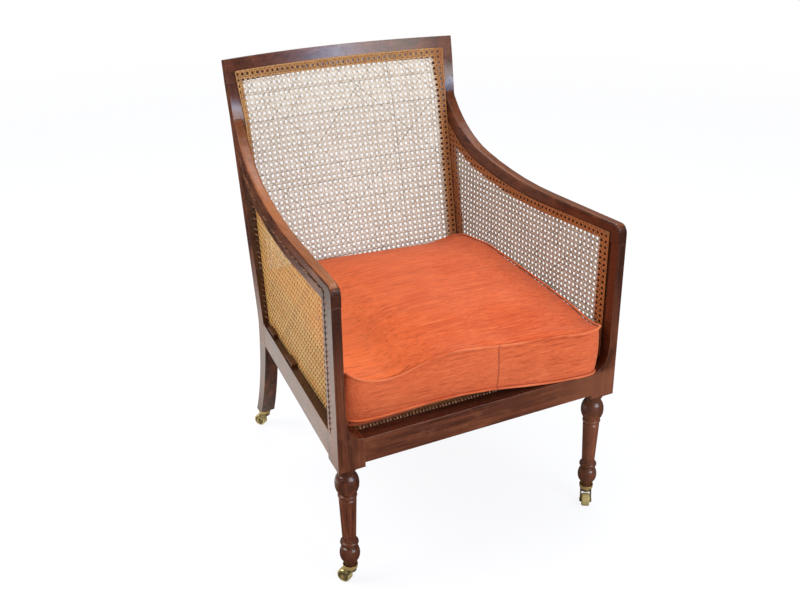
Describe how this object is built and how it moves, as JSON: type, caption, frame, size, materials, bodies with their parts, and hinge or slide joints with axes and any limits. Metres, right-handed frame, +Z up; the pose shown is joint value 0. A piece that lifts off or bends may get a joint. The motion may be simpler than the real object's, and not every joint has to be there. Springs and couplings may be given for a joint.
{
  "type": "tub chair",
  "caption": "Mahogany library tub chair with curved arms, woven cane back, sides and seat, turned front legs, sabre back legs, brass casters and a loose piped box cushion.",
  "frame": {"origin": "on the floor under the middle of the whole part's box", "axes": "+Z up from the floor; -Y the way the chair faces; +X to the right of someone who looks at its front"},
  "size_m": [0.638, 0.7162, 0.9448],
  "materials": {
    "show_mahogany": "polished dark red-brown mahogany",
    "secondary_wood": "dull stained secondary wood",
    "woven_cane": "varnished six-way woven cane",
    "cushion_cloth": "slubbed plain-weave cloth with piped edges",
    "aged_brass": "worn brass with dark patina"
  },
  "bodies": {
    "frame": {"crest_rail": "show_mahogany", "post_head_left": "show_mahogany", "post_head_right": "show_mahogany", "stile_tenons": "secondary_wood", "back_post_left": "show_mahogany", "back_post_right": "show_mahogany", "arm_left": "show_mahogany", "arm_right": "show_mahogany", "arm_dowels": "secondary_wood", "front_post_left": "show_mahogany", "front_post_right": "show_mahogany", "front_seat_rail": "show_mahogany", "side_seat_rail_left": "show_mahogany", "side_seat_rail_right": "show_mahogany", "back_seat_rail": "secondary_wood", "lower_back_rail": "secondary_wood", "corner_braces": "secondary_wood", "ledge_blocks": "secondary_wood", "cane_back": "woven_cane", "cane_side_left": "woven_cane", "cane_side_right": "woven_cane", "cane_seat": "woven_cane", "caster_dish_front_left": "aged_brass", "caster_dish_front_right": "aged_brass", "caster_dish_back_left": "aged_brass", "caster_dish_back_right": "aged_brass"},
    "cushion": {"seat_cushion": "cushion_cloth"},
    "caster_fork_front_left": {"caster_fork_front_left": "aged_brass", "caster_axle_front_left": "aged_brass"},
    "caster_wheel_front_left": {"caster_wheel_front_left": "aged_brass"},
    "caster_fork_front_right": {"caster_fork_front_right": "aged_brass", "caster_axle_front_right": "aged_brass"},
    "caster_wheel_front_right": {"caster_wheel_front_right": "aged_brass"},
    "caster_fork_back_left": {"caster_fork_back_left": "aged_brass", "caster_axle_back_left": "aged_brass"},
    "caster_wheel_back_left": {"caster_wheel_back_left": "aged_brass"},
    "caster_fork_back_right": {"caster_fork_back_right": "aged_brass", "caster_axle_back_right": "aged_brass"},
    "caster_wheel_back_right": {"caster_wheel_back_right": "aged_brass"}
  },
  "joints": [
    {"name": "cushion_lift", "type": "slide", "parent": "frame", "child": "cushion", "axis": [0, 0, 1], "range_m": [0, 0.4]},
    {"name": "caster_swivel_front_left", "type": "hinge", "parent": "frame", "child": "caster_fork_front_left", "pos_m": [-0.291, -0.32865, 0.035], "axis": [0, 0, 1], "continuous": true},
    {"name": "caster_roll_front_left", "type": "hinge", "parent": "caster_fork_front_left", "child": "caster_wheel_front_left", "pos_m": [-0.29883, -0.31704, 0.0145], "axis": [0.829, 0.5592, 0], "continuous": true},
    {"name": "caster_swivel_front_right", "type": "hinge", "parent": "frame", "child": "caster_fork_front_right", "pos_m": [0.291, -0.32865, 0.035], "axis": [0, 0, 1], "continuous": true},
    {"name": "caster_roll_front_right", "type": "hinge", "parent": "caster_fork_front_right", "child": "caster_wheel_front_right", "pos_m": [0.28297, -0.34012, 0.0145], "axis": [-0.8192, 0.5736, 0], "continuous": true},
    {"name": "caster_swivel_back_left", "type": "hinge", "parent": "frame", "child": "caster_fork_back_left", "pos_m": [-0.242, 0.31685, 0.035], "axis": [0, 0, 1], "continuous": true},
    {"name": "caster_roll_back_left", "type": "hinge", "parent": "caster_fork_back_left", "child": "caster_wheel_back_left", "pos_m": [-0.25003, 0.32832, 0.0145], "axis": [0.8192, 0.5736, 0], "continuous": true},
    {"name": "caster_swivel_back_right", "type": "hinge", "parent": "frame", "child": "caster_fork_back_right", "pos_m": [0.242, 0.31685, 0.035], "axis": [0, 0, 1], "continuous": true},
    {"name": "caster_roll_back_right", "type": "hinge", "parent": "caster_fork_back_right", "child": "caster_wheel_back_right", "pos_m": [0.24679, 0.33001, 0.0145], "axis": [0.9397, -0.342, 0], "continuous": true}
  ]
}
